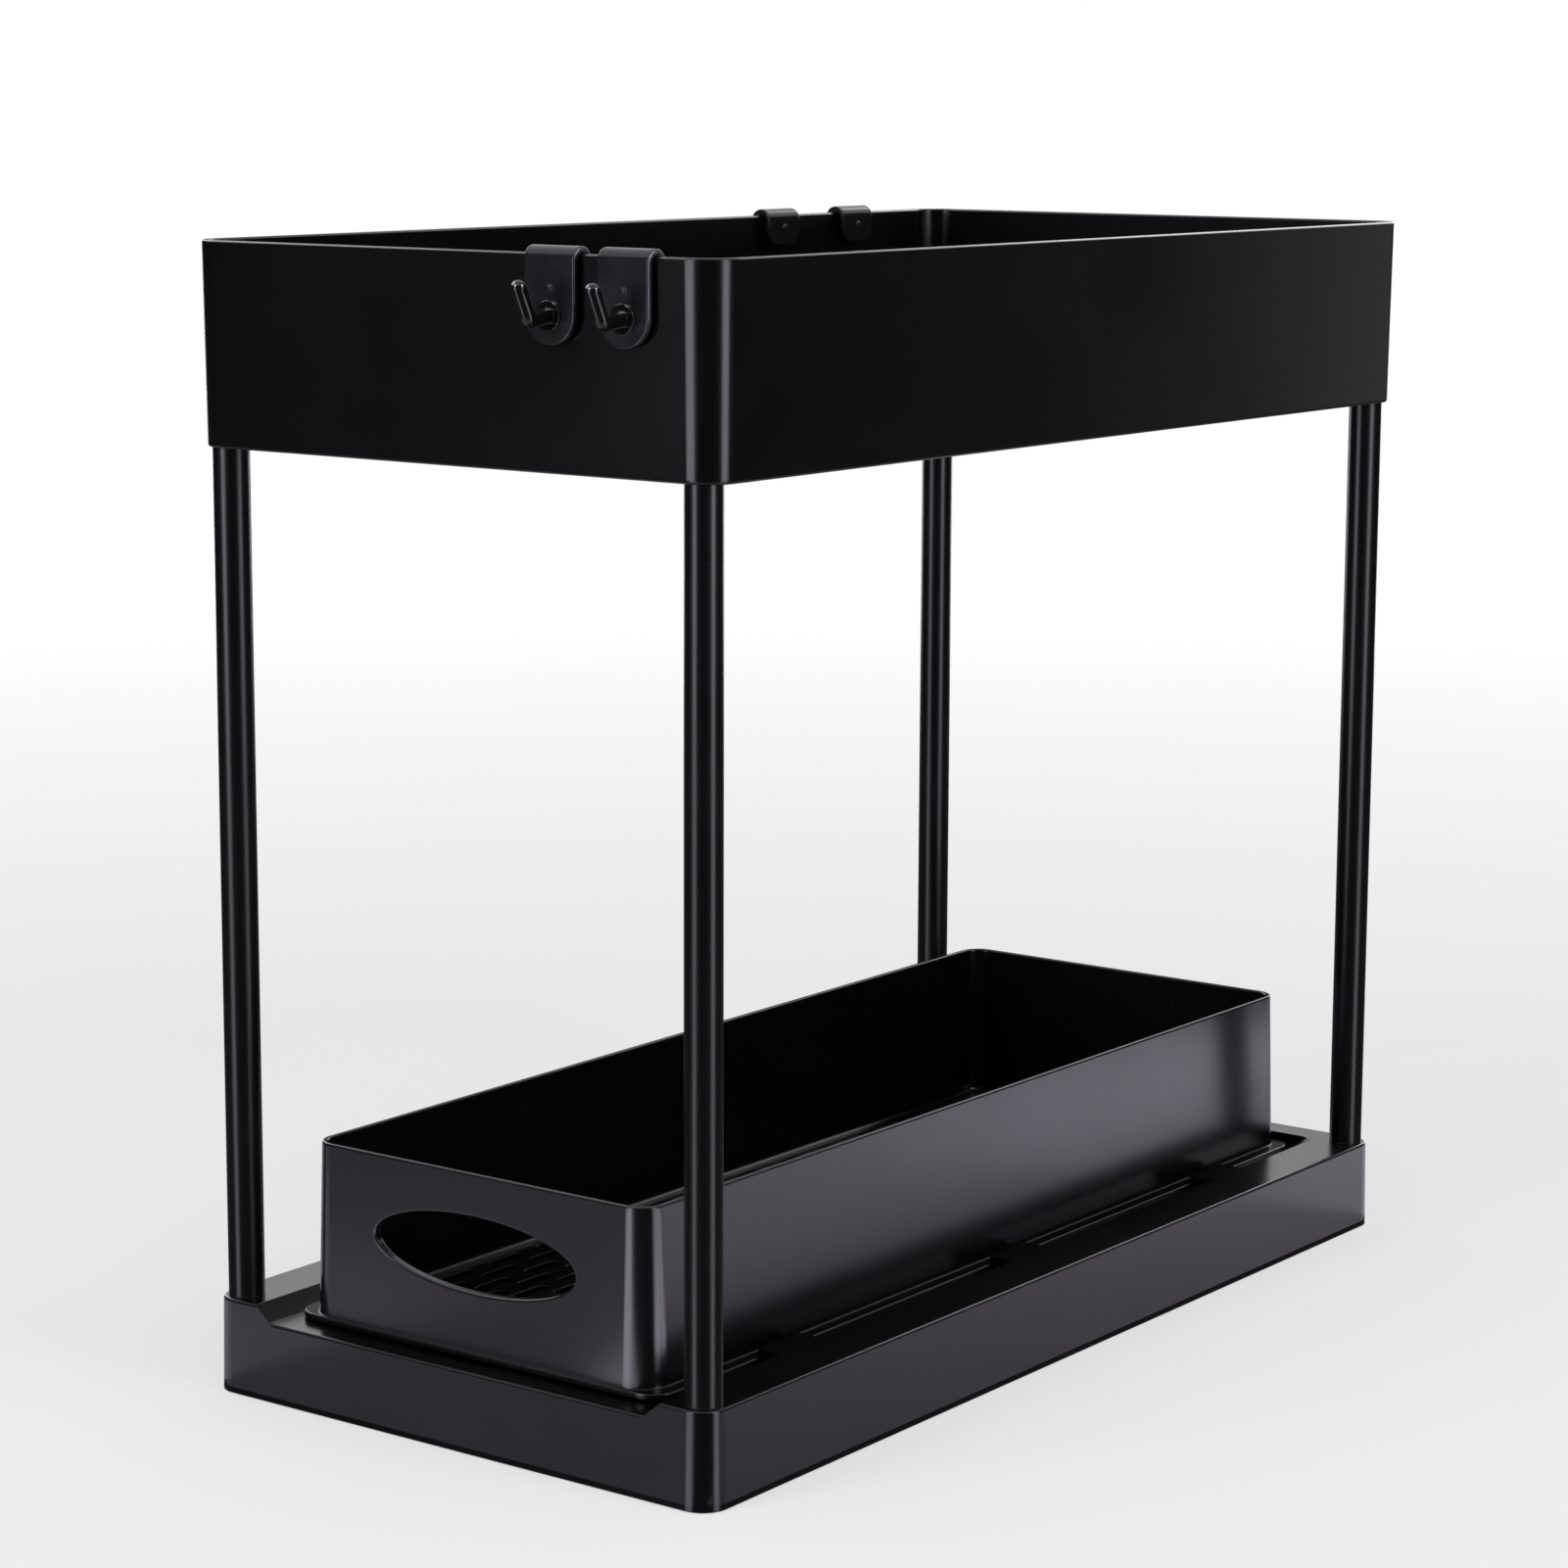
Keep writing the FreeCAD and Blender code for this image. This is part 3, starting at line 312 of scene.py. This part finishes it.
def softbox(name, spot, rotation, width, length, radiance, kept_to):
    """Area lamp that looks evenly bright in the finish, kept to a collection of nodes or to none."""
    bpy.ops.object.light_add(type="AREA", location=spot)
    lamp = bpy.context.object
    lamp.name = name
    lamp.rotation_euler = rotation
    lamp.data.shape = "RECTANGLE"
    lamp.data.size, lamp.data.size_y = width, length
    lamp.data.energy = radiance * math.pi * width * length
    lamp.visible_camera = False
    if kept_to:
        lamp.light_linking.receiver_collection = kept_to
    return lamp


def gathered(title, starts):
    """Collection of the nodes whose names start so, which a lamp can be kept to."""
    group = bpy.data.collections.new(title)
    for name, node in nodes.items():
        if name.startswith(starts):
            group.objects.link(node)
    return group


whole = gathered("organizer", "")
mouldings = gathered("base_and_drawer", ("base", "drawer"))
rimmed = gathered("tray_and_pegs", ("upper_tray", "hook_peg_"))
pegs = gathered("pegs", "hook_peg_")
base_alone = gathered("base_alone", "base")
drawer_alone = gathered("drawer_alone", "drawer")
tray_alone = gathered("tray_alone", "upper_tray")
front_clips = gathered("front_clips", "hook_clip_front")
for name, bearing, distance, height, width, length, radiance, faces_level, kept_to in (
        ("strip_left", -49.5, 1.68, 0.75, 0.56, 1.46, 4.4, True, None),
        ("strip_right", 49.5, 1.6, 0.75, 0.56, 1.46, 4.4, True, None),
        ("rear_strip_left", -150, 1.6, 0.75, 0.46, 1.46, 3.0, True, whole),
        ("rear_strip_right", 150, 1.6, 0.75, 0.46, 1.46, 3.0, True, whole),
        ("rim_left", -110, 1.55, 1.55, 1.4, 0.9, 4.0, False, rimmed),
        ("rim_right", 135, 1.85, 1.2, 1.4, 0.8, 4.0, False, rimmed),
        ("clip_fill", 62, 0.9, 0.5, 0.9, 0.6, 9.0, True, front_clips),
        ("peg_key_left", -50, 1.2, 1.2, 0.4, 0.4, 22.0, False, pegs),
        ("peg_key_right", 50, 1.2, 1.2, 0.4, 0.4, 22.0, False, pegs),
        ("tray_fill", 119, 1.5, 0.25, 0.3, 0.5, 0.4, True, tray_alone),
        ("back_panel", 180, 2.4, 0.8, 3.0, 0.75, 0.9, True, base_alone)):
    spot = distance * toward(bearing) + Vector((0, 0, height))
    aim = -toward(bearing) if faces_level else -spot
    softbox(name, spot, aim.to_track_quat("-Z", "Y").to_euler(), width, length, radiance, kept_to)

low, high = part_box("base")
panel_reach, lift, face_up = 0.6, 0.002, (math.pi, 0, 0)
panel_length = 2 * high[1] + panel_reach / 2
panel_colour = linear("#f8f2ff")[:3]
for name, spot, length, radiance in (
        ("panel_front", (low[0] / 2 - panel_reach / 4, low[1] - panel_reach / 2, lift), panel_reach, 0.46),
        ("panel_rear", (0, high[1] + panel_reach / 2, lift), panel_reach, 0.5),
        ("panel_left", (low[0] - panel_reach / 2, 0, lift), panel_length, 0.5)):
    panel = softbox(name, spot, face_up, panel_reach, length, radiance, mouldings)
    panel.data.color = panel_colour

# The panel on the right dims towards the front and towards the base. The drawer has its own copy of it,
# with a darker near edge, because its wall darkens downwards.
right_radiance, rear_level, front_level = 1.0, 1.4, 0.65
spot = (high[0] + panel_reach / 2, panel_reach / 4, lift)
for name, near_edge, full_edge, near_level, full_level, kept_to in (
        ("panel_right_base", 0.0, 0.4, 0.6, 1.2, base_alone),
        ("panel_right_drawer", 0.02, 0.2, 0.1, 1.3, drawer_alone)):
    panel = softbox(name, spot, face_up, panel_reach, panel_length, right_radiance, kept_to)
    panel.data.color = panel_colour
    panel.data.use_nodes = True
    tree = panel.data.node_tree
    tree.nodes.clear()
    surface = add_node(tree, "NewGeometry", {}, {})
    across = add_node(tree, "SeparateXYZ", {}, {"Vector": surface.outputs["Parametric"]})
    frontward = add_node(tree, "MapRange", {"To Min": rear_level, "To Max": front_level},
                         {"Value": across.outputs["Y"]})
    outward = add_node(tree, "MapRange", {"From Min": near_edge, "From Max": full_edge,
                                          "To Min": near_level, "To Max": full_level},
                       {"Value": across.outputs["X"]})
    strength = add_node(tree, "Math", {"operation": "MULTIPLY"},
                        {0: frontward.outputs["Result"], 1: outward.outputs["Result"]})
    glow = add_node(tree, "Emission", {}, {"Strength": strength.outputs["Value"]})
    add_node(tree, "OutputLight", {}, {"Surface": glow.outputs["Emission"]})

# Narrow strips run outwards from the drawer's near corner. They lie a little above the panels,
# which would hide them.
drawer_low, drawer_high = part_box("drawer")
near_corner = Vector((drawer_high[0], drawer_low[1], 2 * lift))
strip_width, strip_radiance = 0.11, 2.7
for name, bearing in (("corner_strip_left", -55), ("corner_strip_right", 77)):
    spot = near_corner + panel_reach / 2 * toward(bearing)
    along = (math.pi, 0, math.radians(bearing) + yaw)
    softbox(name, spot, along, strip_width, panel_reach, strip_radiance, drawer_alone)
